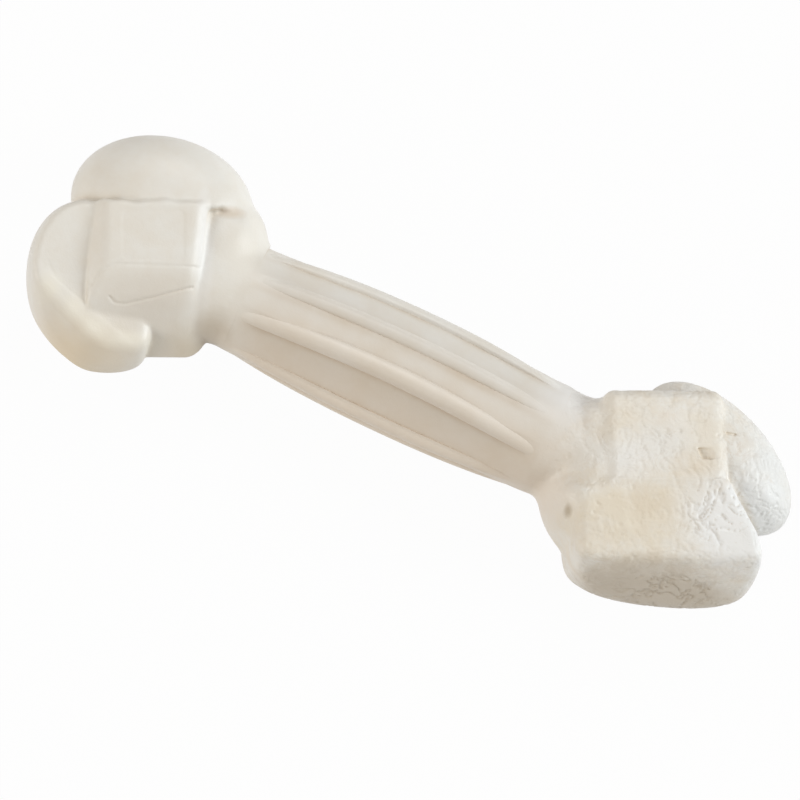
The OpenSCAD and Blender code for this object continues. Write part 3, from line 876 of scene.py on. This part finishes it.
off_fold = wrinkles.over(wrinkles.sum("ABSOLUTE", wrinkles.minus(folds, 0.5)), wrinkles.given["Crease width"])
fold = wrinkles.times(wrinkles.swell(off_fold), wrinkles.given["Crease depth"], wrinkles.own("met last"))
pores = wrinkles.node("ShaderNodeTexVoronoi", Vector=spot, Scale=wrinkles.given["Pit scale"])
draw = wrinkles.node("ShaderNodeSeparateXYZ", Vector=pores.node.outputs["Color"])
chosen = wrinkles.sum("GREATER_THAN", draw, wrinkles.given["Pit rarity"])
hole = wrinkles.times(wrinkles.swell(wrinkles.times(pores, wrinkles.given["Pit narrowing"])), chosen,
                      wrinkles.given["Pit depth"])
lump = wrinkles.node("ShaderNodeTexNoise", Vector=spot, Scale=wrinkles.given["Lump scale"], Detail=4.0,
                     Roughness=0.6)
lump = wrinkles.times(wrinkles.minus(lump, wrinkles.given["Lump level"]), wrinkles.given["Lump height"])
rise = wrinkles.minus(wrinkles.minus(lump, fold), hole)
outwards = wrinkles.node("ShaderNodeVectorMath", settings=(("operation", "SCALE"),),
                         Vector=wrinkles.node("GeometryNodeInputNormal"), Scale=rise)
wrinkles.grow(wrinkles.node("GeometryNodeSetPosition", Geometry=wrinkles.given["Geometry"], Offset=outwards),
              right_skin, rough_chew)
outside, inside = right_u[0] - clear, right_u[1] + clear
foot, crease = right_v[0] - clear, right_v[1] + clear
flank_u = outside - 0.8
flank_reach = 60.0
flank_out = (flank_u - flank_reach * cos(flare), crease + flank_reach * sin(flare))
flank_in = (inside + flank_reach * cos(flare), crease + flank_reach * sin(flare))
far_out, far_in, far_down, far_up = -90, 60, -45, 60
parted(right_skin, {
    "right_lower_lobe": [(flank_u, crease), (inside, crease), flank_in, flank_out],
    "right_saddle": [(outside, foot), (inside, foot), (inside, crease), (flank_u, crease),
                     (outside, crease - clear)],
    "right_outer_lobe": [(outside, crease - clear), (flank_u, crease), flank_out, (far_out, far_up),
                         (far_out, far_down), (inside, far_down), (inside, foot), (outside, foot)],
    "right_collar": [(inside, crease), (inside, far_down), (far_in, far_down), (far_in, far_up), flank_in],
}, half_len - right_joint, right_to_bone, rough_chew)

# Floor, light and camera
# A white sheet under the bone, a large soft lamp from the upper right and pale light all
# round. The camera looks down on the bone through a long lens, a little from one side.
tilt, roll = radians(-11), radians(25)
room_colour, room_light = (1.0, 0.89, 0.74), 0.35
sheet_colour, sheet_glow = (0.65, 0.65, 0.65), 0.97
floor_half = 3
distance = 1.5
sensor_w = 36
picture_px = 800
pixel_size = 0.2302 * MM
aim_left_px, aim_down_px = 7, 26
along_bone = Vector((1, 0, 0))
across = Vector((0, cos(tilt), -sin(tilt)))
to_camera = Vector((0, sin(tilt), cos(tilt)))
image_right = along_bone * cos(roll) + across * sin(roll)
image_up = across * cos(roll) - along_bone * sin(roll)
aim = middle * MM - image_right * aim_left_px * pixel_size - image_up * aim_down_px * pixel_size
camera = bpy.data.objects.new("camera", bpy.data.cameras.new("camera"))
bpy.context.collection.objects.link(camera)
camera.data.sensor_width = sensor_w
camera.data.lens = sensor_w * distance / (picture_px * pixel_size)
camera.data.clip_end = 20
axes = Matrix((image_right, image_up, to_camera)).transposed().to_4x4()
camera.matrix_world = Matrix.Translation(aim + to_camera * distance) @ axes
bpy.context.scene.camera = camera


def lamp(name, side, up, out, power, colour):
    lamp_w = 1.7
    light = bpy.data.lights.new(name, "AREA")
    light.shape = "DISK"
    light.size = lamp_w
    light.energy = power
    light.color = colour
    holder = bpy.data.objects.new(name, light)
    bpy.context.collection.objects.link(holder)
    offset = image_right * side + image_up * up + to_camera * out
    facing = offset.to_track_quat("Z", "Y").to_matrix().to_4x4()
    holder.matrix_world = Matrix.Translation(aim + offset) @ facing


lamp("right lamp", side=2.7, up=0.0, out=1.1, power=57, colour=(0.90, 0.96, 1.0))
lamp("left lamp", side=-2.4, up=-0.5, out=1.5, power=37, colour=(1.0, 0.98, 0.94))
lamp("top lamp", side=0.9, up=2.4, out=2.0, power=29, colour=(0.97, 0.985, 1.0))
world = bpy.data.worlds.new("pale room")
world.use_nodes = True
world.node_tree.nodes["Background"].inputs["Color"].default_value = (*room_colour, 1)
world.node_tree.nodes["Background"].inputs["Strength"].default_value = room_light
bpy.context.scene.world = world

floor_corners = [(x * floor_half, y * floor_half, 0) for x, y in ((-1, -1), (1, -1), (1, 1), (-1, 1))]
floor_mesh = bpy.data.meshes.new("floor")
floor_mesh.from_pydata(floor_corners, [], [(0, 1, 2, 3)])
floor = new_piece("floor", floor_mesh)
white = bpy.data.materials.new("white sheet")
white.use_nodes = True
nodes, links = white.node_tree.nodes, white.node_tree.links
nodes.clear()
matt = nodes.new("ShaderNodeBsdfDiffuse")
matt.inputs["Color"].default_value = (*sheet_colour, 1)
glow = nodes.new("ShaderNodeEmission")
seen = nodes.new("ShaderNodeLightPath")
either = nodes.new("ShaderNodeMath")
either.operation = "MAXIMUM"
links.new(seen.outputs["Is Camera Ray"], either.inputs[0])
links.new(seen.outputs["Is Glossy Ray"], either.inputs[1])
share = nodes.new("ShaderNodeMath")
share.operation = "MULTIPLY"
share.inputs[1].default_value = sheet_glow
links.new(either.outputs[0], share.inputs[0])
both = nodes.new("ShaderNodeMixShader")
links.new(share.outputs[0], both.inputs[0])
links.new(matt.outputs[0], both.inputs[1])
links.new(glow.outputs[0], both.inputs[2])
links.new(both.outputs[0], nodes.new("ShaderNodeOutputMaterial").inputs["Surface"])
floor.data.materials.append(white)

bpy.context.scene.view_settings.view_transform = "Standard"
